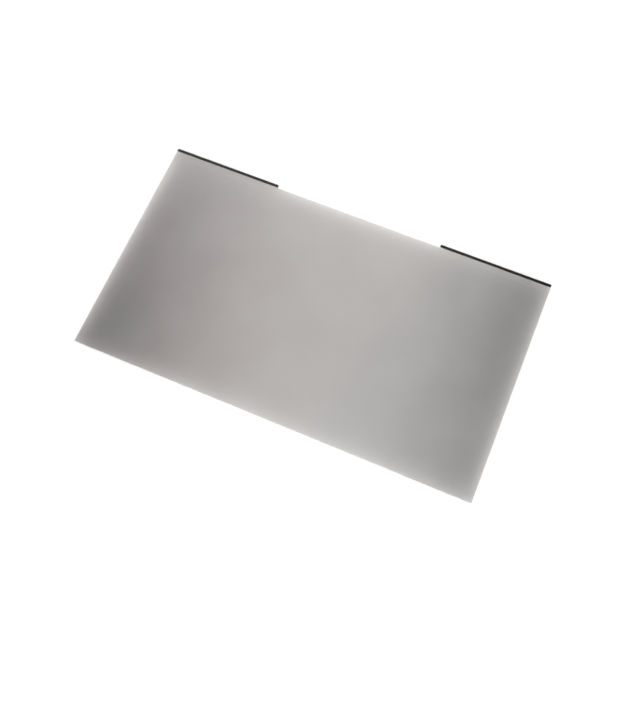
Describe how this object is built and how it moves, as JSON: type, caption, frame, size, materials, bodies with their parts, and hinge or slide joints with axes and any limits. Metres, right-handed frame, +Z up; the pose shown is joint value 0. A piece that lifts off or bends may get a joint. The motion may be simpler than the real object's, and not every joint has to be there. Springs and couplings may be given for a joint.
{
  "type": "monitor privacy filter",
  "caption": "Thin rectangular louvre film for a desktop monitor screen, with narrow tabs past its top edge that carry strips of flexible magnet.",
  "frame": {"origin": "middle of the overall outline, on the film's underside", "axes": "+X along the width, +Y from the bottom edge towards the tabs, +Z up from the underside to the magnet side, as it lies on a table"},
  "size_m": [0.531, 0.3026, 0.0016],
  "materials": {
    "louvre_film": "satin see-through film, neutral grey",
    "tape": "matt translucent acrylic",
    "flexible_magnet": "matt near-black, ferrite-filled"
  },
  "bodies": {
    "root": {"filter_sheet": "louvre_film", "adhesive_tape_left": "tape", "adhesive_tape_right": "tape", "magnet_strip_left": "flexible_magnet", "magnet_strip_right": "flexible_magnet"}
  },
  "joints": []
}
